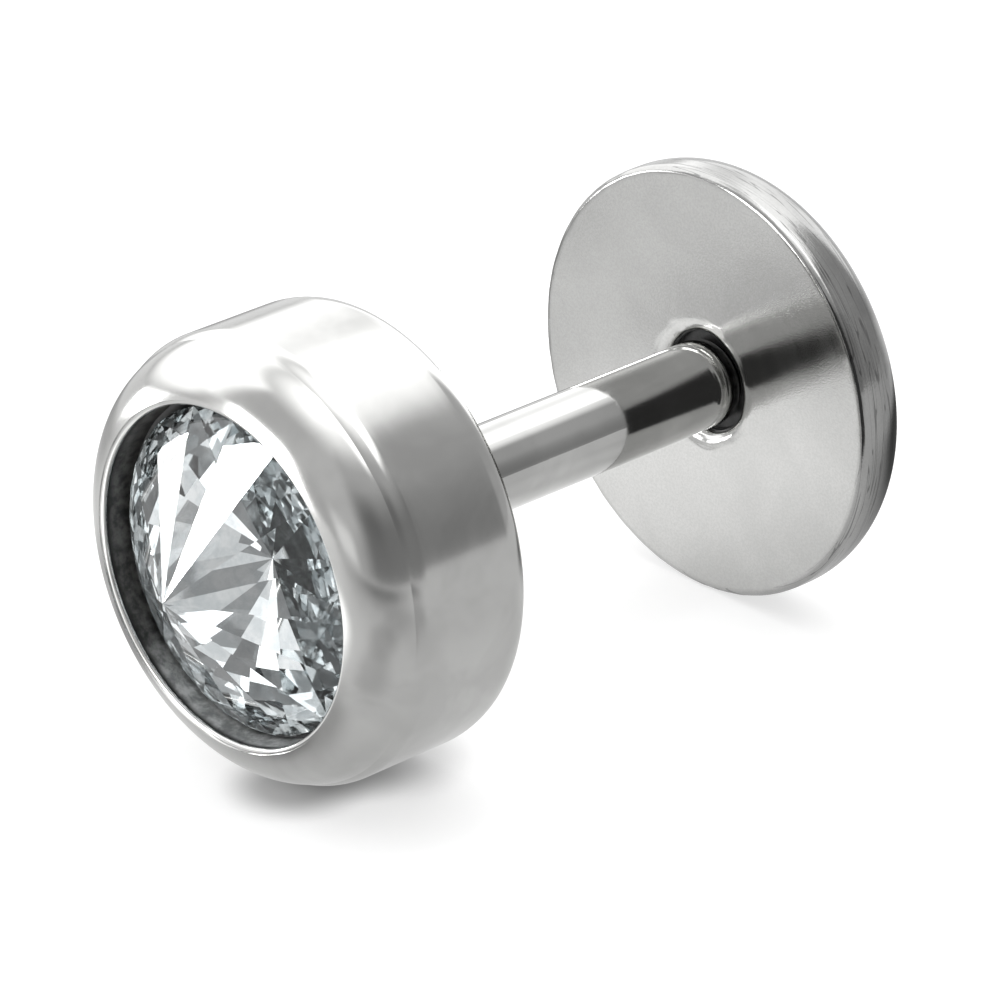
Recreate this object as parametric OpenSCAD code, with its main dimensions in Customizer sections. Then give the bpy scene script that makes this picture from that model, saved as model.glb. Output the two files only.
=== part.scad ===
// Screw-on piercing stud: a round steel cup with a faceted crystal, a straight
// post, and a plain back disc that screws onto the post.
// Millimetres. The stud lies on the rims of its two equal ends, its axis along
// Y, with the crystal facing -Y and the back disc at +Y.
// Every round profile below is a list of [radius, s], where s is the distance
// back from the front plane of the cup's lip.

/* [Ends] */
// Outer radius of the cup and of the back disc
rim_r = 3.0; // [2.8:0.1:3.4]
// Depth of the cup from lip to flat back
cup_depth = 2.50; // [2.4:0.05:3.0]
// Length of post between the cup's back and the disc's face
wear_len = 6.0; // [4:0.5:10]

/* [Cup] */
// Radius of the opening inside the lip
opening_r = 2.25; // [2.24:0.01:2.26]
// Radius of the small rounding on the lip's inner edge
edge_r = 0.05; // [0.03:0.01:0.07]
// Radius of the broad rounding of the lip
lip_r = 0.88; // [0.85:0.01:0.90]
// Angle at which the lip's rounding ends and the shallow crease begins
lip_end = 76; // [72:1:76]
// Radius of the hollow bend in the crease behind the lip
crease_r = 0.03; // [0.03:0.01:0.08]
// Lean of the crease's steepest part from the axis
crease_lean = 34; // [30:1:36]
// Rounding of the cup's back edge, measured in from the wall
back_edge_r = 0.16; // [0.1:0.02:0.2]
// Rounding of the cup's back edge, measured along the wall
back_edge_s = 0.30; // [0.2:0.02:0.4]

/* [Crystal] */
// Radius of the crystal at its girdle
stone_r = 2.17; // [2.05:0.01:2.18]
// Number of main facets around the crystal
stone_n = 16; // [12:1:18]
// Depth of the girdle behind the lip's front plane
girdle_s = 0.38; // [0.3:0.01:0.5]
// Thickness of the girdle
girdle_t = 0.08; // [0.05:0.01:0.12]
// Height of the crystal's front point over the girdle
crown_h = 1.30; // [1.2:0.01:1.5]
// Height over the girdle of the band of small facets in front
band_h = 0.12; // [0.12:0.005:0.16]
// Depth of the crystal's back point under the girdle
pavilion_h = 0.78; // [0.6:0.01:0.85]
// Gap between the crystal and its seat
seat_gap = 0.03; // [0.02:0.01:0.05]
// Height of the crystal's centre over the cup's axis
stone_lift = -0.03; // [-0.03:0.01:0.03]
// Turn of the crystal in the cup
stone_turn = 10.5; // [0:0.25:22.5]

/* [Post] */
// Radius of the post, 16 gauge
post_r = 0.6; // [0.5:0.05:0.6]
// Radius of the post's front tenon
tenon_r = 0.42; // [0.38:0.01:0.44]
// Depth of the socket in the cup's back that the tenon is pressed into
socket_d = 0.55; // [0.4:0.05:0.6]
// Radial gap of the tenon in that socket
socket_gap = 0.02; // [0.01:0.005:0.03]
// Width of the shallow relief in the cup's back around the post
relief_w = 0.03; // [0.02:0.01:0.06]
// How much the post narrows where it enters the disc
pilot_step = 0.015; // [0.01:0.005:0.03]
// Outer radius of the reduced threaded end
thread_r = 0.44; // [0.38:0.01:0.44]
// Length of the threaded end beyond the shoulder
thread_len = 0.62; // [0.4:0.02:0.64]
// Rounding of the shoulder
shoulder_r = 0.13; // [0.08:0.01:0.14]

/* [Back disc] */
// Thickness of the disc at its middle
disc_t = 1.10; // [1.1:0.05:1.6]
// Width of the straight band of the rim
disc_band = 0.32; // [0.2:0.02:0.4]
// How far the rim's back rounding reaches in from the rim
disc_round = 0.50; // [0.3:0.05:0.7]
// Height of the shallow dome on the back
dome_h = 0.15; // [0.1:0.01:0.2]
// Rounding on the edge of the inner face
face_edge = 0.09; // [0.05:0.01:0.12]
// Outer radius of the rounded mouth of the threaded hole
mouth_r = 0.92; // [0.85:0.01:1.0]
// Radius of the counterbore that takes the post's shoulder
cbore_r = 0.70; // [0.66:0.01:0.74]
// Depth of the counterbore
cbore_d = 0.24; // [0.2:0.01:0.3]
// Radial gap between the threaded end and its hole
thread_gap = 0.04; // [0.02:0.01:0.06]

/* [Hidden] */
$fn = 96;

steel = [0.80, 0.80, 0.81];
satin = [0.72, 0.72, 0.73];
clear = [0.86, 0.90, 0.92];

// Places along the axis, as s.
apex_s = girdle_s - crown_h;
culet_s = girdle_s + girdle_t + pavilion_h;
face_s = cup_depth + wear_len;
end_s = face_s + disc_t;
// s of the middle of the stud's whole length, which sits at y = 0
mid_s = (apex_s + end_s) / 2;
// s of the post's two ends and of its shoulder
post_s0 = cup_depth - socket_d + 0.02;
shoulder_s = face_s + cbore_d - 0.02;
post_s1 = shoulder_s + thread_len;

// Points on an arc about c, from angle a0 to a1.
function arc(c, r, a0, a1, n) =
  [for (i = [0:n]) let (a = a0 + (a1 - a0) * i / n) c + r * [cos(a), sin(a)]];
// Points on an arc of an ellipse with half-widths e.
function oval(c, e, a0, a1, n) =
  [for (i = [0:n]) let (a = a0 + (a1 - a0) * i / n) c + [e[0] * cos(a), e[1] * sin(a)]];
// Points after p round a bend of radius r, as the profile's lean from the axis
// goes from a0 to a1: hollow when it grows, full when it falls.
function bend(p, r, a0, a1, n) = let (way = a1 > a0 ? 1 : -1)
  [for (i = [1:n]) let (a = a0 + (a1 - a0) * i / n)
    p + way * r * [cos(a0) - cos(a), sin(a) - sin(a0)]];

// Turns a [radius, s] profile about the stud's axis, starting at the top.
module turned(profile) {
  translate([0, -mid_s, rim_r]) rotate([-90, 0, 0]) rotate([0, 0, -90])
    rotate_extrude() polygon(profile);
}

// The lip: a small rounding at the opening, then one broad rounding whose
// frontmost circle would lie inside the opening.
lip_c = [opening_r + edge_r - lip_r * sin(15), lip_r * cos(15) - 0.004];
lip_top = lip_c + lip_r * [sin(lip_end), -cos(lip_end)];
lip_profile = concat(
  arc([opening_r + edge_r, edge_r + 0.02], edge_r, 180, 285, 5),
  [for (i = [1:9]) let (f = 15 + (lip_end - 15) * i / 9) lip_c + lip_r * [sin(f), -cos(f)]]);

// The crease: a small hollow bend, then a full one that ends on the wall.
crease_hollow = bend(lip_top, crease_r, 90 - lip_end, crease_lean, 2);
crease_full = bend(crease_hollow[1], (rim_r - crease_hollow[1][0]) / (1 - cos(crease_lean)),
                   crease_lean, 0, 6);

// The seat follows the crystal's back, clear of the ridges between its facets.
ridge = 1 / cos(180 / stone_n);
seat_slope = pavilion_h / stone_r;
seat_tip_s = culet_s + seat_gap + (seat_gap + abs(stone_lift)) * seat_slope;
seat_wall_s = seat_tip_s - opening_r / ridge * seat_slope;

module bezel_cup() {
  color(steel) turned(concat(
    [[0, seat_tip_s], [opening_r, seat_wall_s]],
    lip_profile,
    crease_hollow, crease_full,
    oval([rim_r - back_edge_r, cup_depth - back_edge_s], [back_edge_r, back_edge_s], 0, 90, 8),
    [[post_r + relief_w, cup_depth], [post_r + relief_w, cup_depth - 0.05],
     [tenon_r + socket_gap, cup_depth - 0.05],
     [tenon_r + socket_gap, cup_depth - socket_d],
     [0, cup_depth - socket_d]]));
}

// The crystal. In front, kite-shaped main facets meet at a point, and a steeper
// band of small triangles joins them to the girdle. Behind, main facets meet at
// a second point, with small triangles along the girdle.
function ring(r, z, count, start) =
  [for (i = [0:count - 1]) let (a = (i + start) * 360 / count) [r * cos(a), r * sin(a), z]];
// Height over the girdle where the ridge between two main facets reaches
// radius r, when the facets' middle lines run from the point at height h down
// to height e at radius q.
function ridge_z(r, h, q, e) = h - (h - e) / q * r * cos(180 / stone_n);

module crystal() {
  n = stone_n;
  ridge_r = stone_r * 0.83;
  kite_r = stone_r * 0.91;
  back_r = stone_r * 0.80;
  points = concat(
    [[0, 0, -crown_h]],
    ring(ridge_r, -ridge_z(ridge_r, crown_h, kite_r, band_h), n, 0.5),
    ring(kite_r, -band_h, n, 0),
    ring(stone_r, 0, 2 * n, 0),
    ring(stone_r, girdle_t, 2 * n, 0),
    ring(back_r, girdle_t + ridge_z(back_r, pavilion_h, stone_r, 0), n, 0.5),
    [[0, 0, girdle_t + pavilion_h]]);
  // first point of each ring
  m0 = 1; k0 = m0 + n; t0 = k0 + n; b0 = t0 + 2 * n; q0 = b0 + 2 * n; culet = q0 + n;
  faces = concat(
    [for (i = [0:n - 1]) [0, m0 + (i + n - 1) % n, k0 + i, m0 + i]],
    [for (i = [0:n - 1]) [m0 + i, k0 + i, t0 + 2 * i + 1]],
    [for (i = [0:n - 1]) [m0 + i, t0 + 2 * i + 1, k0 + (i + 1) % n]],
    [for (i = [0:n - 1]) [k0 + i, t0 + 2 * i, t0 + 2 * i + 1]],
    [for (i = [0:n - 1]) [k0 + i, t0 + (2 * i + 2 * n - 1) % (2 * n), t0 + 2 * i]],
    [for (j = [0:2 * n - 1]) let (k = (j + 1) % (2 * n)) [t0 + k, t0 + j, b0 + j, b0 + k]],
    [for (i = [0:n - 1]) [q0 + i, b0 + 2 * i + 1, b0 + 2 * i]],
    [for (i = [0:n - 1]) [q0 + i, b0 + (2 * i + 2) % (2 * n), b0 + 2 * i + 1]],
    [for (i = [0:n - 1]) [culet, q0 + i, b0 + 2 * i, q0 + (i + n - 1) % n]]);
  color(clear) translate([0, girdle_s - mid_s, rim_r + stone_lift])
    rotate([-90, 0, 0]) rotate([0, 0, stone_turn]) polyhedron(points, faces);
}

// The post: a tenon in the cup, the full shaft between the two ends, a
// slightly tapered pilot with a rounded shoulder, and the threaded end.
module post() {
  tip = 0.06;
  pilot_r = post_r - pilot_step;
  color(steel) turned(concat(
    [[0, post_s0], [tenon_r - 0.04, post_s0], [tenon_r, post_s0 + 0.04],
     [tenon_r, cup_depth + 0.01], [post_r, cup_depth + 0.01],
     [post_r, face_s - 0.01]],
    arc([pilot_r - shoulder_r, shoulder_s - shoulder_r], shoulder_r, 0, 90, 6),
    [[thread_r, shoulder_s], [thread_r, post_s1 - tip],
     [thread_r - tip, post_s1], [0, post_s1]]));
}

// The disc: a flat inner face with a rounded, counterbored mouth for the post,
// a straight rim, and a rounded, slightly domed back.
module back_disc() {
  s0 = face_s + disc_band;
  s1 = end_s - dome_h;
  lean = 8;
  hole_r = thread_r + thread_gap;
  hole_s = post_s1 + 0.05;
  dome_w = rim_r - disc_round;
  color(satin) turned(concat(
    [[0, hole_s], [hole_r, hole_s], [hole_r, face_s + cbore_d], [cbore_r, face_s + cbore_d]],
    oval([mouth_r, face_s + 0.16], [mouth_r - cbore_r, 0.16], 180, 250, 6), [[mouth_r, face_s]],
    arc([rim_r - face_edge, face_s + face_edge], face_edge, -90, 0, 4),
    oval([rim_r - disc_round, s0], [disc_round, s1 - s0], 0, 90 - lean, 7),
    [for (i = [1:6]) let (r = dome_w * (1 - i / 6)) [r, s1 + dome_h * (1 - pow(r / dome_w, 2))]]));
}

bezel_cup();
crystal();
post();
back_disc();
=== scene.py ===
# Looks of a screw-on piercing stud: turned steel cup with a faceted crystal,
# straight post, and a flat satin back disc.
# Metres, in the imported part's frame: the axis of the stud runs along Y.
import math

import bpy
from mathutils import Matrix, Vector, noise


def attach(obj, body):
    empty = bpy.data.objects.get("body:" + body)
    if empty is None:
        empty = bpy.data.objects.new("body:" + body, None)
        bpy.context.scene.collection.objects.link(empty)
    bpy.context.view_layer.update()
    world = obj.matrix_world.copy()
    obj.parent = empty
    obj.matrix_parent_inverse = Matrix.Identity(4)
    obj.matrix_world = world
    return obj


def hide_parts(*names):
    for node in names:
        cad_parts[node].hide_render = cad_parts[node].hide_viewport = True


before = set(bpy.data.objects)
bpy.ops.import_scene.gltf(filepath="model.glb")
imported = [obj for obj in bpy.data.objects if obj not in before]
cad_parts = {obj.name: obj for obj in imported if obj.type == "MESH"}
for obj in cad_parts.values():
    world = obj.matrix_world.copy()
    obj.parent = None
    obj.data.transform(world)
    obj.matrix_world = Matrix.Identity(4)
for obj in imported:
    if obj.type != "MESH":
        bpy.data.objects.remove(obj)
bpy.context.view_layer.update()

MM = 0.001

# ---------------------------------------------------------------- sizes, mm
RIM_R = 3.0
CUP_DEPTH = 2.50
WEAR_LEN = 6.0
OPENING_R = 2.25
EDGE_R = 0.05
LIP_R = 0.88
LIP_END = 76.0
CREASE_R = 0.03
CREASE_LEAN = 34.0
BACK_EDGE_R = 0.16
BACK_EDGE_S = 0.30
STONE_R = 2.17
STONE_N = 16
GIRDLE_S = 0.38
GIRDLE_T = 0.08
CROWN_H = 1.30
BAND_H = 0.12
PAVILION_H = 0.78
SEAT_GAP = 0.03
STONE_LIFT = -0.03
STONE_TURN = 10.5
POST_R = 0.6
TENON_R = 0.42
SOCKET_D = 0.55
SOCKET_GAP = 0.02
RELIEF_W = 0.03
PILOT_STEP = 0.015
THREAD_R = 0.44
THREAD_LEN = 0.62
SHOULDER_R = 0.13
PITCH = 0.225
DISC_T = 1.10
DISC_BAND = 0.32
DISC_ROUND = 0.50
DOME_H = 0.15
FACE_EDGE = 0.09
MOUTH_R = 0.92
CBORE_R = 0.70
CBORE_D = 0.24
THREAD_GAP = 0.04

APEX_S = GIRDLE_S - CROWN_H
CULET_S = GIRDLE_S + GIRDLE_T + PAVILION_H
FACE_S = CUP_DEPTH + WEAR_LEN
END_S = FACE_S + DISC_T
MID_S = (APEX_S + END_S) / 2
POST_S0 = CUP_DEPTH - SOCKET_D + 0.02
SHOULDER_S = FACE_S + CBORE_D - 0.02
POST_S1 = SHOULDER_S + THREAD_LEN
HOLE_S = POST_S1 + 0.05


def cosd(a):
    return math.cos(math.radians(a))


def sind(a):
    return math.sin(math.radians(a))


# ---------------------------------------------------------------- profiles
# A profile is a list of (radius, s) in mm, s measured back from the lip's
# front plane, as in the CAD source, but with finer steps.
def arc(c, r, a0, a1, n):
    return [
        (c[0] + r * cosd(a0 + (a1 - a0) * i / n), c[1] + r * sind(a0 + (a1 - a0) * i / n))
        for i in range(n + 1)
    ]


def oval(c, e, a0, a1, n):
    return [
        (c[0] + e[0] * cosd(a0 + (a1 - a0) * i / n), c[1] + e[1] * sind(a0 + (a1 - a0) * i / n))
        for i in range(n + 1)
    ]


def line(p, q, n):
    """Points after p up to q."""
    return [
        (p[0] + (q[0] - p[0]) * i / n, p[1] + (q[1] - p[1]) * i / n) for i in range(1, n + 1)
    ]


def bend(p, r, a0, a1, n):
    """Points after p round a bend of radius r, as the profile's lean from the
    axis goes from a0 to a1: hollow when it grows, full when it falls."""
    way = 1 if a1 > a0 else -1
    return [
        (p[0] + way * r * (cosd(a0) - cosd(a)), p[1] + way * r * (sind(a) - sind(a0)))
        for a in [a0 + (a1 - a0) * i / n for i in range(1, n + 1)]
    ]


def cup_profile():
    ridge = 1 / cosd(180 / STONE_N)
    slope = PAVILION_H / STONE_R
    tip = CULET_S + SEAT_GAP + (SEAT_GAP + abs(STONE_LIFT)) * slope
    wall = tip - OPENING_R / ridge * slope
    c = (OPENING_R + EDGE_R - LIP_R * sind(15), LIP_R * cosd(15) - 0.004)
    top = (c[0] + LIP_R * sind(LIP_END), c[1] - LIP_R * cosd(LIP_END))
    seat = [(0, tip)] + line((0, tip), (OPENING_R, wall), 24)
    seat += line(seat[-1], (OPENING_R, EDGE_R + 0.02), 8)[:-1]
    lip = arc((OPENING_R + EDGE_R, EDGE_R + 0.02), EDGE_R, 180, 285, 10)
    broad = [
        (c[0] + LIP_R * sind(f), c[1] - LIP_R * cosd(f))
        for f in [15 + (LIP_END - 15) * i / 40 for i in range(1, 41)]
    ]
    crease = bend(top, CREASE_R, 90 - LIP_END, CREASE_LEAN, 8)
    full_r = (RIM_R - crease[-1][0]) / (1 - cosd(CREASE_LEAN))
    crease += bend(crease[-1], full_r, CREASE_LEAN, 0, 20)
    wall_line = line(crease[-1], (RIM_R, CUP_DEPTH - BACK_EDGE_S), 14)[:-1]
    back = oval(
        (RIM_R - BACK_EDGE_R, CUP_DEPTH - BACK_EDGE_S), (BACK_EDGE_R, BACK_EDGE_S), 0, 90, 28
    )
    p = seat + lip + broad + crease + wall_line + back
    p += line(back[-1], (POST_R + RELIEF_W, CUP_DEPTH), 20)
    p += [
        (POST_R + RELIEF_W, CUP_DEPTH - 0.05),
        (TENON_R + SOCKET_GAP, CUP_DEPTH - 0.05),
        (TENON_R + SOCKET_GAP, CUP_DEPTH - SOCKET_D),
        (0, CUP_DEPTH - SOCKET_D),
    ]
    return p, len(seat)


def post_profile():
    pilot = POST_R - PILOT_STEP
    p = [
        (0, POST_S0),
        (TENON_R - 0.04, POST_S0),
        (TENON_R, POST_S0 + 0.04),
        (TENON_R, CUP_DEPTH + 0.01),
        (POST_R - 0.015, CUP_DEPTH + 0.01),
        (POST_R, CUP_DEPTH + 0.025),
    ]
    p += line(p[-1], (POST_R, FACE_S - 0.01), 60)
    shoulder = arc((pilot - SHOULDER_R, SHOULDER_S - SHOULDER_R), SHOULDER_R, 0, 90, 12)
    p += line((POST_R, FACE_S - 0.01), shoulder[0], 4)[:-1] + shoulder
    p += [(THREAD_R + 0.005, SHOULDER_S), (THREAD_R - 0.045, SHOULDER_S + 0.03)]
    n = 56
    p += line(p[-1], (THREAD_R - 0.045, POST_S1 - 0.03), n)
    p += [(THREAD_R - 0.10, POST_S1), (0, POST_S1)]
    return p


def disc_profile():
    s0 = FACE_S + DISC_BAND
    s1 = END_S - DOME_H
    lean = 8
    hole_r = THREAD_R + THREAD_GAP
    dome_w = RIM_R - DISC_ROUND
    p = [(0, HOLE_S), (hole_r - 0.02, HOLE_S), (hole_r, HOLE_S - 0.02)]
    p += line(p[-1], (hole_r, FACE_S + CBORE_D + 0.03), 52)
    p += [(hole_r + 0.03, FACE_S + CBORE_D), (CBORE_R - 0.02, FACE_S + CBORE_D)]
    p += [(CBORE_R, FACE_S + CBORE_D - 0.02)]
    bore_rings = len(p)
    p += oval((MOUTH_R, FACE_S + 0.16), (MOUTH_R - CBORE_R, 0.16), 180, 250, 16)
    p += line(p[-1], (MOUTH_R, FACE_S), 4)
    p += line(p[-1], (RIM_R - FACE_EDGE, FACE_S), 40)[:-1]
    p += arc((RIM_R - FACE_EDGE, FACE_S + FACE_EDGE), FACE_EDGE, -90, 0, 10)
    p += line(p[-1], (RIM_R, s0), 8)[:-1]
    p += oval((RIM_R - DISC_ROUND, s0), (DISC_ROUND, s1 - s0), 0, 90 - lean, 24)
    p += [
        (dome_w * (1 - i / 30), s1 + DOME_H * (1 - (1 - i / 30) ** 2)) for i in range(1, 31)
    ]
    return p, bore_rings


# ------------------------------------------------------------------ meshes
def lathe(name, profile, segs, shift=None, slot_of=None, sharp=32):
    """Turns a profile about the stud's axis into a closed mesh. shift(theta, r,
    s) gives (dr, ds) in mm; slot_of(ring) gives a face's material index."""
    verts, rings = [], []
    for r, s in profile:
        if r <= 1e-9:
            rings.append([len(verts)])
            verts.append((0, (s - MID_S) * MM, RIM_R * MM))
            continue
        ring = []
        for j in range(segs):
            t = 2 * math.pi * j / segs
            dr, ds = shift(t, r, s) if shift else (0, 0)
            ring.append(len(verts))
            verts.append(
                (
                    (r + dr) * math.cos(t) * MM,
                    (s + ds - MID_S) * MM,
                    (RIM_R + (r + dr) * math.sin(t)) * MM,
                )
            )
        rings.append(ring)
    faces, mats = [], []
    for i in range(len(rings) - 1):
        a, b = rings[i], rings[i + 1]
        m = slot_of(i) if slot_of else 0
        for j in range(segs):
            k = (j + 1) % segs
            if len(a) == 1:
                f = (a[0], b[j], b[k])
            elif len(b) == 1:
                f = (a[j], b[0], a[k])
            else:
                f = (a[j], b[j], b[k], a[k])
            faces.append(f)
            mats.append(m)
    mesh = bpy.data.meshes.new(name)
    mesh.from_pydata(verts, [], faces)
    mesh.polygons.foreach_set("material_index", mats)
    mesh.polygons.foreach_set("use_smooth", [True] * len(faces))
    mesh.validate()
    fix_normals(mesh)
    mesh.set_sharp_from_angle(angle=math.radians(sharp))
    obj = bpy.data.objects.new(name, mesh)
    bpy.context.scene.collection.objects.link(obj)
    return obj


def fix_normals(mesh):
    import bmesh

    bm = bmesh.new()
    bm.from_mesh(mesh)
    bmesh.ops.recalc_face_normals(bm, faces=bm.faces)
    bm.to_mesh(mesh)
    bm.free()


def wave(t, seed, scale=1.0, octaves=3):
    """Smooth noise round a circle, about -1 to 1."""
    p = Vector((math.cos(t) * scale, math.sin(t) * scale, seed * 7.31))
    return noise.fractal(p, 0.8, 2.0, octaves)


def thread_shift(lo, hi, depth, sign):
    """A helical thread between s=lo and s=hi that fades out at both ends."""

    def shift(t, r, s):
        if not lo <= s <= hi or r > 0.6:
            return 0, 0
        phase = (s / PITCH - t / (2 * math.pi)) % 1
        tooth = 1 - abs(2 * phase - 1)
        tooth = min(1, max(0, tooth * 1.25 - 0.12))
        fade = min(1, (s - lo) / 0.05, (hi - s) / 0.05)
        return sign * depth * tooth * max(0, fade), 0

    return shift


profile, seat_rings = cup_profile()
cup = lathe("cup", profile, 288, slot_of=lambda i: 1 if i < 24 else 2 if i < seat_rings else 0)

post = lathe(
    "post_shaft",
    post_profile(),
    160,
    shift=thread_shift(SHOULDER_S + 0.04, POST_S1 - 0.03, 0.045, 1),
    sharp=40,
)

bore = thread_shift(FACE_S + CBORE_D + 0.04, HOLE_S - 0.03, 0.05, 1)


def disc_shift(t, r, s):
    """The thread in the bore, and the uneven hand polish of the face's edge."""
    dr, ds = bore(t, r, s)
    if r > RIM_R - FACE_EDGE - 0.08 and s < FACE_S + FACE_EDGE + 0.1:
        near = 1 - min(1, abs(math.hypot(RIM_R - r, s - FACE_S) - 0.05) / 0.12)
        dr -= 0.010 * near * (0.5 + 0.5 * wave(t, 3, 9))
        ds += 0.004 * near * wave(t, 5, 14)
    if CBORE_R - 0.01 < r < MOUTH_R - 0.01 and s < FACE_S + 0.17:
        dr += 0.012 * wave(t, 8, 1.6, 2)
        ds += 0.006 * wave(t, 9, 2.4, 2)
    return dr, ds


profile, bore_rings = disc_profile()
disc = lathe(
    "disc_plate",
    profile,
    320,
    shift=disc_shift,
    slot_of=lambda i: 1 if i < bore_rings else 0,
    sharp=40,
)


def crystal_mesh(name):
    n = STONE_N
    ridge_r, kite_r, back_r = STONE_R * 0.83, STONE_R * 0.91, STONE_R * 0.80

    def ring(r, z, count, start):
        return [
            (r * cosd((i + start) * 360 / count), r * sind((i + start) * 360 / count), z)
            for i in range(count)
        ]

    def ridge_z(r, h, q, e):
        return h - (h - e) / q * r * cosd(180 / n)

    pts = [(0, 0, -CROWN_H)]
    pts += ring(ridge_r, -ridge_z(ridge_r, CROWN_H, kite_r, BAND_H), n, 0.5)
    pts += ring(kite_r, -BAND_H, n, 0)
    pts += ring(STONE_R, 0, 2 * n, 0)
    pts += ring(STONE_R, GIRDLE_T, 2 * n, 0)
    pts += ring(back_r, GIRDLE_T + ridge_z(back_r, PAVILION_H, STONE_R, 0), n, 0.5)
    pts += [(0, 0, GIRDLE_T + PAVILION_H)]
    m0 = 1
    k0 = m0 + n
    t0 = k0 + n
    b0 = t0 + 2 * n
    q0 = b0 + 2 * n
    culet = q0 + n
    faces = []
    for i in range(n):
        faces.append((0, m0 + (i + n - 1) % n, k0 + i, m0 + i))
        faces.append((m0 + i, k0 + i, t0 + 2 * i + 1))
        faces.append((m0 + i, t0 + 2 * i + 1, k0 + (i + 1) % n))
        faces.append((k0 + i, t0 + 2 * i, t0 + 2 * i + 1))
        faces.append((k0 + i, t0 + (2 * i + 2 * n - 1) % (2 * n), t0 + 2 * i))
    for j in range(2 * n):
        k = (j + 1) % (2 * n)
        faces.append((t0 + k, t0 + j, b0 + j, b0 + k))
    front = len(faces)
    for i in range(n):
        faces.append((q0 + i, b0 + 2 * i + 1, b0 + 2 * i))
        faces.append((q0 + i, b0 + (2 * i + 2) % (2 * n), b0 + 2 * i + 1))
        faces.append((culet, q0 + i, b0 + 2 * i, q0 + (i + n - 1) % n))
    # local z runs back along the stud, local y runs down
    place = (
        Matrix.Translation((0, GIRDLE_S - MID_S, RIM_R + STONE_LIFT))
        @ Matrix.Rotation(math.radians(-90), 4, "X")
        @ Matrix.Rotation(math.radians(STONE_TURN), 4, "Z")
    )
    verts = [tuple((place @ Vector(p)) * MM) for p in pts]
    mesh = bpy.data.meshes.new(name)
    mesh.from_pydata(verts, [], faces)
    mesh.polygons.foreach_set(
        "material_index", [0] * (front - 2 * n) + [1] * (len(faces) - front + 2 * n)
    )
    fix_normals(mesh)
    obj = bpy.data.objects.new(name, mesh)
    bpy.context.scene.collection.objects.link(obj)
    return obj


stone = crystal_mesh("crystal_stone")


# --------------------------------------------------------------- materials
class Nodes:
    """Short helpers to write a node tree."""

    def __init__(self, tree):
        self.tree = tree
        tree.nodes.clear()

    def add(self, kind, **values):
        node = self.tree.nodes.new(kind)
        for key, value in values.items():
            setattr(node, key, value)
        return node

    def link(self, a, b):
        self.tree.links.new(a, b)

    def put(self, socket, value):
        if isinstance(value, bpy.types.NodeSocket):
            self.link(value, socket)
        else:
            socket.default_value = value

    def math(self, op, a, b=0.0, c=0.0, clamp=False):
        node = self.add("ShaderNodeMath", operation=op, use_clamp=clamp)
        for socket, value in zip(node.inputs, (a, b, c)):
            self.put(socket, value)
        return node.outputs[0]

    def dot(self, a, v):
        node = self.add("ShaderNodeVectorMath", operation="DOT_PRODUCT")
        self.put(node.inputs[0], a)
        node.inputs[1].default_value = v
        return node.outputs["Value"]

    def ramp(self, x, lo, hi, out_lo=0.0, out_hi=1.0, smooth=True):
        node = self.add("ShaderNodeMapRange")
        node.interpolation_type = "SMOOTHSTEP" if smooth else "LINEAR"
        self.put(node.inputs["Value"], x)
        for key, value in (
            ("From Min", lo),
            ("From Max", hi),
            ("To Min", out_lo),
            ("To Max", out_hi),
        ):
            self.put(node.inputs[key], value)
        return node.outputs[0]

    def noise(self, vector, scale, detail=2.0, rough=0.5, distort=0.0):
        node = self.add("ShaderNodeTexNoise")
        self.put(node.inputs["Vector"], vector)
        node.inputs["Scale"].default_value = scale
        node.inputs["Detail"].default_value = detail
        node.inputs["Roughness"].default_value = rough
        node.inputs["Distortion"].default_value = distort
        return node.outputs[0]

    def combine(self, x, y, z):
        node = self.add("ShaderNodeCombineXYZ")
        for socket, value in zip(node.inputs, (x, y, z)):
            self.put(socket, value)
        return node.outputs[0]

    def mix(self, factor, a, b, kind="RGBA"):
        node = self.add("ShaderNodeMix", data_type=kind)
        at = {"FLOAT": (2, 3, 0), "RGBA": (6, 7, 2)}[kind]
        self.put(node.inputs[0], factor)
        self.put(node.inputs[at[0]], a)
        self.put(node.inputs[at[1]], b)
        return node.outputs[at[2]]


def new_material(name):
    material = bpy.data.materials.new(name)
    material.use_nodes = True
    return material, Nodes(material.node_tree)


def turned_coords(n):
    """Object position, and the radius, angle and place along the axis, in mm."""
    at = n.add("ShaderNodeTexCoord").outputs["Object"]
    split = n.add("ShaderNodeSeparateXYZ")
    n.link(at, split.inputs[0])
    x = n.math("MULTIPLY", split.outputs[0], 1000.0)
    y = n.math("MULTIPLY", split.outputs[1], 1000.0)
    z = n.math("MULTIPLY_ADD", split.outputs[2], 1000.0, -RIM_R)
    r = n.math("SQRT", n.math("ADD", n.math("MULTIPLY", x, x), n.math("MULTIPLY", z, z)))
    angle = n.math("ARCTAN2", z, x)
    return n.combine(x, y, z), r, angle, y


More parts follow.
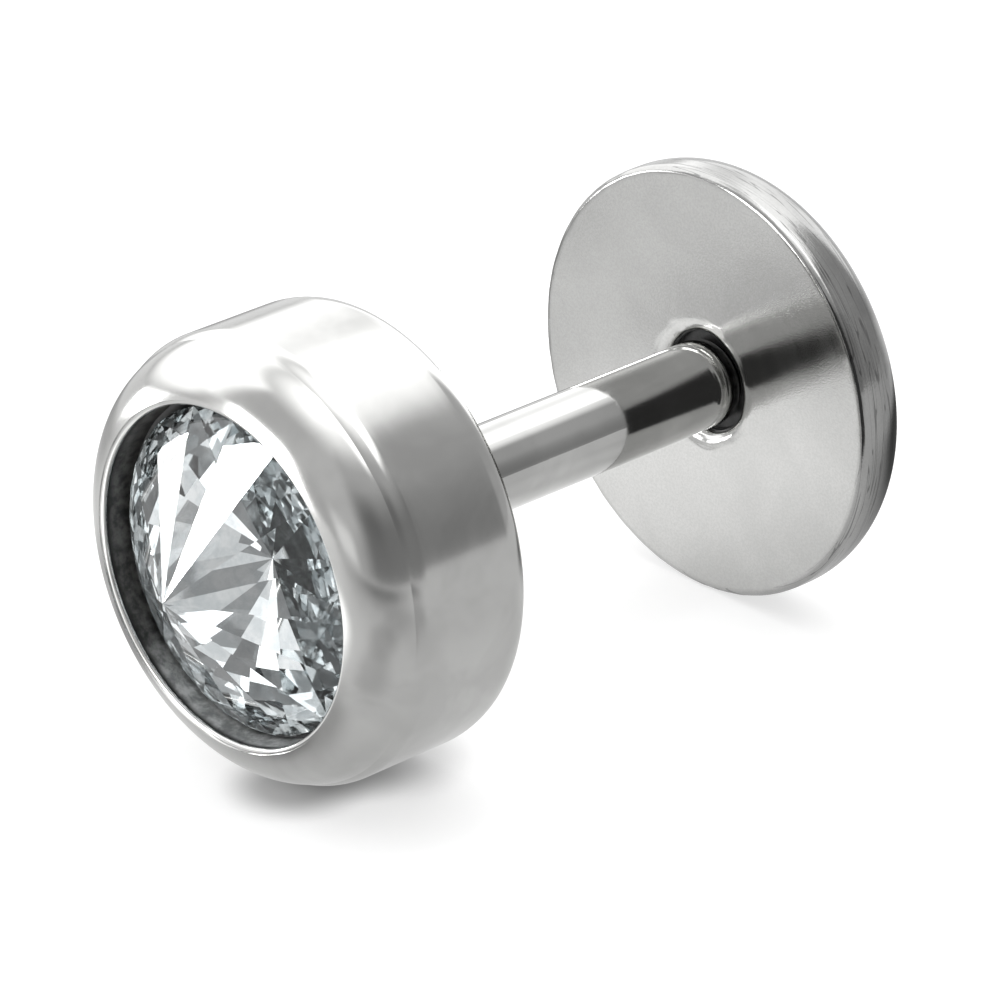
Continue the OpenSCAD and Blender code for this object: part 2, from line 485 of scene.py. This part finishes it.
def steel(name, colour, rough, rough_var, marks, grain, blotch=0.04, rim=1.0, along=False):
    """Turned steel: marks is the bump of the fine rings left by turning and
    polishing, or of lines drawn along the axis, grain the bump of an even
    satin, blotch the change of tone, rim how much the marks grow at the rim."""
    material, n = new_material(name)
    place, r, angle, y = turned_coords(n)
    # rings: noise that changes fast along the profile and slowly round it
    across, down, turn = (9.0, 0.5, 9.0) if along else (9.0, 9.0, 1.3)
    around = n.combine(
        n.math("MULTIPLY", r, across),
        n.math("MULTIPLY", y, down),
        n.math("MULTIPLY", angle, turn),
    )
    rings = n.noise(around, 1.0, 4.0, 0.62)
    lines = None
    if rim > 1:
        at_rim = n.ramp(r, RIM_R - 0.14, RIM_R - 0.04)
        # thin dark lines, where this noise crosses its middle
        lines = n.noise(around, 0.8, 2.0, 0.6, 0.5)
        lines = n.ramp(n.math("ABSOLUTE", n.math("SUBTRACT", lines, 0.5)), 0.004, 0.016, 1.0, 0.0)
        lines = n.math("MULTIPLY", lines, n.math("MULTIPLY", at_rim, 0.6))
        rings = n.math("MULTIPLY", rings, n.math("MULTIPLY_ADD", at_rim, rim - 1, 1.0))
    fine = n.noise(place, 38.0, 3.0, 0.6)
    broad = n.noise(place, 0.9, 3.0, 0.55, 0.4)
    out = n.add("ShaderNodeOutputMaterial")
    bsdf = n.add("ShaderNodeBsdfPrincipled")
    n.link(bsdf.outputs[0], out.inputs["Surface"])
    dark = tuple(c * (1 - 2 * blotch) for c in colour) + (1,)
    light = tuple(min(1, c * (1 + blotch)) for c in colour) + (1,)
    tone = n.mix(n.ramp(broad, 0.35, 0.65), dark, light)
    if grain > 0:
        speck = n.ramp(n.noise(place, 30.0, 2.0, 0.6), 0.35, 0.65)
        tone = n.mix(n.math("MULTIPLY", speck, 0.20), tone, (0.40, 0.40, 0.39, 1))
    if lines:
        # painted shade: the rounding behind the rim is darkened in uneven patches
        behind = n.ramp(y, FACE_S - MID_S + 0.10, FACE_S - MID_S + 0.75)
        behind = n.math("MULTIPLY", behind, n.ramp(r, RIM_R - 0.6, RIM_R - 0.3))
        shade_patches = n.ramp(n.noise(place, 2.2, 4.0, 0.6, 0.6), 0.3, 0.7, 0.45, 0.75)
        tone = n.mix(n.math("MULTIPLY", behind, shade_patches), tone, (0.13, 0.13, 0.13, 1))
        # painted shade: the rim is darkened a little as well
        tone = n.mix(n.math("MULTIPLY", at_rim, 0.38), tone, (0.22, 0.22, 0.22, 1))
        tone = n.mix(lines, tone, (0.10, 0.10, 0.10, 1))
    n.link(tone, bsdf.inputs["Base Color"])
    bsdf.inputs["Metallic"].default_value = 1.0
    spread = n.math("ADD", n.math("MULTIPLY", rings, 0.6), n.math("MULTIPLY", broad, 0.4))
    n.link(
        n.ramp(spread, 0.3, 0.7, rough - rough_var, rough + rough_var),
        bsdf.inputs["Roughness"],
    )
    last = None
    for height, strength, distance in ((rings, 1.0, marks), (fine, 1.0, grain)):
        if distance <= 0:
            continue
        bump = n.add("ShaderNodeBump")
        bump.inputs["Strength"].default_value = strength
        bump.inputs["Distance"].default_value = distance
        n.link(height, bump.inputs["Height"])
        if last:
            n.link(last, bump.inputs["Normal"])
        last = bump.outputs[0]
    if last:
        n.link(last, bsdf.inputs["Normal"])
    return material


cup_steel = steel("cup_steel", (0.60, 0.60, 0.59), 0.15, 0.015, 1e-7, 0)
post_steel = steel("post_steel", (0.60, 0.60, 0.59), 0.06, 0.02, 3e-7, 0, along=True)
disc_steel = steel("disc_steel", (0.60, 0.60, 0.59), 0.12, 0.02, 3e-7, 1.1e-6, 0.02, rim=5.0)


def glass_material():
    material, n = new_material("crystal_glass")
    place, r, angle, y = turned_coords(n)
    out = n.add("ShaderNodeOutputMaterial")
    bsdf = n.add("ShaderNodeBsdfPrincipled")
    # painted shade: the outermost band of facets is tinted grey in uneven patches, for the shade
    # of the cup's dark edge
    edge = n.noise(place, 7.0, 3.0, 0.6)
    edge = n.mix(n.ramp(edge, 0.42, 0.58), (0.40, 0.42, 0.42, 1), (0.92, 0.94, 0.94, 1))
    n.link(
        n.mix(n.ramp(r, STONE_R * 0.93, STONE_R * 0.96), (0.95, 0.97, 0.98, 1), edge),
        bsdf.inputs["Base Color"],
    )
    bsdf.inputs["Transmission Weight"].default_value = 1.0
    bsdf.inputs["IOR"].default_value = 1.54
    smear = n.noise(place, 1.6, 4.0, 0.6)
    n.link(n.ramp(smear, 0.45, 0.75, 0.0, 0.06), bsdf.inputs["Roughness"])
    n.link(bsdf.outputs[0], out.inputs["Surface"])
    return material


def foil_material():
    material, n = new_material("crystal_foil")
    place, r, angle, y = turned_coords(n)
    out = n.add("ShaderNodeOutputMaterial")
    bsdf = n.add("ShaderNodeBsdfPrincipled")
    tone = n.noise(place, 3.0, 4.0, 0.6)
    n.link(
        n.mix(n.ramp(tone, 0.35, 0.65), (0.72, 0.75, 0.76, 1), (0.88, 0.89, 0.89, 1)),
        bsdf.inputs["Base Color"],
    )
    bsdf.inputs["Metallic"].default_value = 1.0
    bsdf.inputs["Roughness"].default_value = 0.02
    n.link(bsdf.outputs[0], out.inputs["Surface"])
    return material


# painted shade: a near-black matt material for the stone's seat and the disc's bore, standing for
# the shade in these recesses
def recess_shade_material(name):
    material, n = new_material(name)
    place, r, angle, y = turned_coords(n)
    out = n.add("ShaderNodeOutputMaterial")
    bsdf = n.add("ShaderNodeBsdfPrincipled")
    tone = n.noise(place, 6.0, 4.0, 0.6)
    n.link(
        n.mix(n.ramp(tone, 0.35, 0.65), (0.012, 0.012, 0.012, 1), (0.05, 0.05, 0.05, 1)),
        bsdf.inputs["Base Color"],
    )
    bsdf.inputs["Metallic"].default_value = 0.0
    bsdf.inputs["Roughness"].default_value = 0.4
    n.link(bsdf.outputs[0], out.inputs["Surface"])
    return material


def wall_material():
    """The bare wall of the opening, painted near black in uneven patches for the shade inside it,
    and paler at the bottom.
    """
    material, n = new_material("cup_wall")
    place, r, angle, y = turned_coords(n)
    out = n.add("ShaderNodeOutputMaterial")
    bsdf = n.add("ShaderNodeBsdfPrincipled")
    tone = n.noise(place, 5.0, 5.0, 0.7)
    # painted shade: the wall's near-black tone, uneven in patches
    painted_wall_tone = n.mix(n.ramp(tone, 0.35, 0.65), (0.02, 0.02, 0.02, 1), (0.11, 0.11, 0.106, 1))
    # paler at the bottom, where it catches light thrown down by the crystal
    pale = n.mix(n.ramp(tone, 0.35, 0.65), (0.24, 0.25, 0.25, 1), (0.60, 0.61, 0.61, 1))
    painted_wall_tone = n.mix(n.ramp(n.dot(place, (0, 0, 1)), -1.45, -2.0), painted_wall_tone, pale)
    # painted shade: a black line under the lip, for the lip's shadow
    s = n.math("ADD", y, MID_S)
    n.link(
        n.mix(n.ramp(s, 0.08, 0.18), (0.003, 0.003, 0.003, 1), painted_wall_tone),
        bsdf.inputs["Base Color"],
    )
    bsdf.inputs["Metallic"].default_value = 0.0
    bsdf.inputs["Roughness"].default_value = 0.35
    n.link(bsdf.outputs[0], out.inputs["Surface"])
    return material


cup.data.materials.append(cup_steel)
cup.data.materials.append(recess_shade_material("cup_seat"))
cup.data.materials.append(wall_material())
post.data.materials.append(post_steel)
disc.data.materials.append(disc_steel)
disc.data.materials.append(recess_shade_material("disc_bore"))
stone.data.materials.append(glass_material())
stone.data.materials.append(foil_material())

for obj, body, node, slot in (
    (cup, "stud", "bezel_cup", "polished_steel"),
    (stone, "stud", "crystal", "crystal_glass"),
    (post, "stud", "post", "post_steel"),
    (disc, "disc", "back_disc", "satin_steel"),
):
    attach(obj, body)
    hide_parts(node)


# ------------------------------------------------------------------- stage
def direction(az, el):
    """Unit vector at an azimuth from -Y towards +X, and an elevation."""
    return Vector((sind(az) * cosd(el), -cosd(az) * cosd(el), sind(el)))


def plane(name, size, z):
    mesh = bpy.data.meshes.new(name)
    h = size / 2
    mesh.from_pydata([(-h, -h, z), (h, -h, z), (h, h, z), (-h, h, z)], [], [(0, 1, 2, 3)])
    obj = bpy.data.objects.new(name, mesh)
    bpy.context.scene.collection.objects.link(obj)
    return obj


def paper(name, left, right, glow, spots=()):
    """A matt translucent table top, lit from below as well as from above. Its
    tone goes from left to right along X, and is multiplied near the spots,
    (x, y, radius, factor) in mm, which paint shade and light onto it."""
    material, n = new_material(name)
    out = n.add("ShaderNodeOutputMaterial")
    bsdf = n.add("ShaderNodeBsdfPrincipled")
    bsdf.inputs["Roughness"].default_value = 1.0
    bsdf.inputs["Specular IOR Level"].default_value = 0.0
    place = n.add("ShaderNodeTexCoord").outputs["Object"]
    x = n.dot(place, (1, 0, 0))
    tone = n.ramp(x, -0.002, 0.009, left, right)
    # painted shade and light: each spot darkens or brightens the tone near it
    for at_x, at_y, wide, factor in spots:
        away = n.add("ShaderNodeVectorMath", operation="DISTANCE")
        n.link(place, away.inputs[0])
        away.inputs[1].default_value = (at_x * MM, at_y * MM, 0)
        near = n.ramp(away.outputs["Value"], wide * MM, 0.3 * wide * MM)
        tone = n.math("MULTIPLY", tone, n.mix(near, 1.0, factor, "FLOAT"))
    tone = n.combine(tone, tone, tone)
    n.link(tone, bsdf.inputs["Base Color"])
    n.link(tone, bsdf.inputs["Emission Color"])
    bsdf.inputs["Emission Strength"].default_value = glow
    n.link(bsdf.outputs[0], out.inputs["Surface"])
    return material


floor = plane("floor", 4.0, 0.0)
floor.data.materials.append(
    paper(
        "floor_paper",
        0.50,
        0.50,
        1.24,
        # painted shadow: these spots darken the floor next to the cup, for its contact shadow
        (
            (0.5, -3.6, 1.1, 0.44),
            (0.5, -2.8, 1.2, 0.44),
            (0.7, -2.2, 1.4, 0.6),
        ),
    )
)
floor.visible_glossy = False
# what the metal mirrors of the floor, a shade greyer than the floor itself, with painted light
# and shade: darker towards +X, and darker and brighter spots, the dark ones next to the stud
# standing for its shadow
under = plane("floor_mirrored", 4.0, 0.000001)
under.data.materials.append(
    paper(
        "floor_shade",
        0.27,
        0.20,
        2.0,
        # painted light and shade: spots the metal mirrors as darker and brighter floor
        (
            (-2.5, 2.0, 5.0, 1.35),
            (-17.0, -1.5, 9.0, 0.60),
            (1.5, 11.5, 7.5, 0.12),
            (45.0, -35.0, 45.0, 0.35),
            (-14.0, 10.0, 13.0, 0.40),
            (8.0, -8.5, 4.0, 0.72),
            (15.0, -7.0, 8.0, 0.75),
            (4.6, -7.0, 2.8, 0.80),
            (0.6, -6.0, 2.2, 0.60),
            (-5.6, -3.5, 3.0, 0.70),
            (-4.0, -4.4, 1.8, 0.60),
            (0.3, -5.4, 1.0, 0.60),
            (-2.1, -5.2, 0.8, 1.60),
            (-3.0, -6.6, 2.2, 1.45),
            (-2.0, -11.5, 5.0, 3.0),
        ),
    )
)
under.visible_camera = False
under.visible_diffuse = False
under.visible_shadow = False
under.visible_transmission = False



def card(name, az, away, half_w, low, high, bright, only=None):
    """A small upright card of light that faces the stud, sizes in mm. With
    only given, it is a clear card that lights nothing but those objects."""
    mid = direction(az, 0) * away
    side = direction(az + 90, 0) * half_w
    corners = [mid - side, mid + side, mid + side, mid - side]
    verts = [(c.x * MM, c.y * MM, z * MM) for c, z in zip(corners, (low, low, high, high))]
    mesh = bpy.data.meshes.new(name)
    mesh.from_pydata(verts, [], [(0, 1, 2, 3)])
    obj = bpy.data.objects.new(name, mesh)
    bpy.context.scene.collection.objects.link(obj)
    material, n = new_material(name)
    out = n.add("ShaderNodeOutputMaterial")
    glow = n.add("ShaderNodeEmission")
    glow.inputs["Strength"].default_value = bright
    if only:
        both = n.add("ShaderNodeAddShader")
        n.link(glow.outputs[0], both.inputs[0])
        n.link(n.add("ShaderNodeBsdfTransparent").outputs[0], both.inputs[1])
        n.link(both.outputs[0], out.inputs["Surface"])
        obj.light_linking.receiver_collection = only
    else:
        n.link(glow.outputs[0], out.inputs["Surface"])
    mesh.materials.append(material)
    obj.visible_camera = False
    obj.visible_diffuse = False
    obj.visible_shadow = False
    obj.visible_transmission = False
    return obj


stones = bpy.data.collections.new("stones")
stones.objects.link(stone)
card("light_card_low", -64, 30, 4.9, 0.0, 4.6, 9.0)
card("light_card_tall", -25, 60, 11.8, 0.9, 22.5, 9.0)
card("facet_card_1", -67.0, 31.6, 3.3, 1.0, 7.4, 50.0, stones)
card("facet_card_2", -33.1, 300, 21, 108, 166, 50.0, stones)
card("facet_card_3", -69.3, 8.2, 0.8, 0.0, 1.2, 30.0, stones)


def flag(name, y, x0, x1, high, tone):
    """An upright dark card beside the post, seen only from its +Y side, sizes
    in mm. It darkens what the post and the disc mirror of each other."""
    corners = ((x1, 0), (x0, 0), (x0, high), (x1, high))
    mesh = bpy.data.meshes.new(name)
    mesh.from_pydata([(x * MM, y * MM, z * MM) for x, z in corners], [], [(0, 1, 2, 3)])
    obj = bpy.data.objects.new(name, mesh)
    bpy.context.scene.collection.objects.link(obj)
    material, n = new_material(name)
    front = n.add("ShaderNodeEmission")
    front.inputs["Color"].default_value = (tone,) * 3 + (1,)
    through = n.add("ShaderNodeBsdfTransparent")
    both = n.add("ShaderNodeMixShader")
    n.link(n.add("ShaderNodeNewGeometry").outputs["Backfacing"], both.inputs[0])
    n.link(front.outputs[0], both.inputs[1])
    n.link(through.outputs[0], both.inputs[2])
    out = n.add("ShaderNodeOutputMaterial")
    n.link(both.outputs[0], out.inputs["Surface"])
    mesh.materials.append(material)
    obj.visible_camera = False
    obj.visible_diffuse = False
    obj.visible_shadow = False
    obj.visible_transmission = False
    return obj


flag("dark_card", -1.0, 3.1, 12.0, 9.0, 0.05)


def sparkle_dome(name, size, cells, seed, dark, light, shade_at):
    """What is seen through the crystal: a ball of light broken into patches,
    so that each facet picks up a tone of its own, with a soft shade at one
    side, given as (azimuth, elevation). Size in mm."""
    import bmesh

    bm = bmesh.new()
    bmesh.ops.create_icosphere(bm, subdivisions=5, radius=size * MM)
    mesh = bpy.data.meshes.new(name)
    bm.to_mesh(mesh)
    bm.free()
    obj = bpy.data.objects.new(name, mesh)
    bpy.context.scene.collection.objects.link(obj)
    material, n = new_material(name)
    place = n.add("ShaderNodeTexCoord").outputs["Generated"]
    patches = n.add("ShaderNodeTexVoronoi", voronoi_dimensions="4D")
    n.link(place, patches.inputs["Vector"])
    patches.inputs["W"].default_value = seed
    patches.inputs["Scale"].default_value = cells
    pick = n.add("ShaderNodeSeparateColor")
    n.link(patches.outputs["Color"], pick.inputs[0])
    tone = n.math("POWER", pick.outputs[0], 2.2)
    tone = n.ramp(tone, 0.0, 1.0, dark, light, smooth=False)
    ahead = n.dot(n.add("ShaderNodeTexCoord").outputs["Object"], tuple(direction(*shade_at)))
    shade = n.ramp(ahead, size * MM * cosd(24), size * MM * cosd(12), 1.0, 0.45)
    glow = n.add("ShaderNodeEmission")
    n.link(n.math("MULTIPLY", tone, shade), glow.inputs["Strength"])
    out = n.add("ShaderNodeOutputMaterial")
    n.link(glow.outputs[0], out.inputs["Surface"])
    mesh.materials.append(material)
    obj.visible_camera = False
    obj.visible_diffuse = False
    obj.visible_glossy = False
    obj.visible_shadow = False
    return obj


floor.visible_transmission = False
sparkle_dome("sparkle_dome", 60, 9.0, 9.6, 0.22, 2.6, (54, 8))

# Soft studio light: boxes of light and of shade all round, as (azimuth,
# elevation, half width, half height, softness, brightness), in degrees.
BASE = 0.55
BOXES = (
    (-5, 40, 44, 24, 8, 0.68),
    (92, 16, 48, 20, 12, 0.25),
    (150, 25, 16, 30, 8, 0.48),
    (64, 27, 12, 8, 12, 0.18),
    (0, 90, 181, 22, 18, 2.1),
    (160, 64, 60, 12, 6, 2.6),
    (0, 90, 181, 5, 3, 10.0),
    (-112, 32.0, 66, 27.5, 5, 1.95),
    (-137, 28, 6, 14, 6, 1.40),
    (-29, 7, 12, 9, 3, 1.0),
    (-46, 6, 6, 7, 5, 0.6),
    (17, 6, 10, 7, 5, 1.05),
)
world = bpy.data.worlds.new("studio")
bpy.context.scene.world = world
world.use_nodes = True
w = Nodes(world.node_tree)
ray = w.add("ShaderNodeTexCoord").outputs["Generated"]
level = BASE
for az, el, half_w, half_h, soft, bright in BOXES:
    ahead = direction(az, 0)
    side = direction(az + 90, 0)
    a = w.math(
        "ABSOLUTE", w.math("ARCTAN2", w.dot(ray, tuple(side)), w.dot(ray, tuple(ahead)))
    )
    b = w.math("ARCSINE", w.dot(ray, (0, 0, 1)))
    b = w.math("ABSOLUTE", w.math("SUBTRACT", b, math.radians(el)))
    mask = w.math(
        "MULTIPLY",
        w.ramp(a, math.radians(half_w + soft), math.radians(half_w - soft)),
        w.ramp(b, math.radians(half_h + soft), math.radians(half_h - soft)),
    )
    level = w.mix(mask, level, bright, "FLOAT")
background = w.add("ShaderNodeBackground")
background.inputs["Color"].default_value = (1, 1, 1, 1)
w.put(background.inputs["Strength"], level)
world_out = w.add("ShaderNodeOutputWorld")
w.link(background.outputs[0], world_out.inputs["Surface"])

# ------------------------------------------------------------------ camera
cam_data = bpy.data.cameras.new("camera")
cam_data.sensor_width = 36.0
cam_data.lens = 218.15
cam_data.clip_start = 0.001
cam_data.clip_end = 10.0
cam = bpy.data.objects.new("camera", cam_data)
bpy.context.scene.collection.objects.link(cam)
AZ, EL = 46.57, 25.71
back = direction(AZ, EL)
right = Vector((cosd(AZ), sind(AZ), 0))
up = back.cross(right)
turn = Matrix((right, up, back)).transposed()
cam.matrix_world = Matrix.Translation(Vector((51.438, -48.215, 36.599)) * MM) @ turn.to_4x4()
bpy.context.scene.camera = cam

cycles = bpy.context.scene.cycles
cycles.max_bounces = 24
cycles.glossy_bounces = 12
cycles.transmission_bounces = 16

bpy.context.scene.view_settings.view_transform = "Standard"
bpy.context.scene.view_settings.look = "None"

bpy.context.view_layer.update()
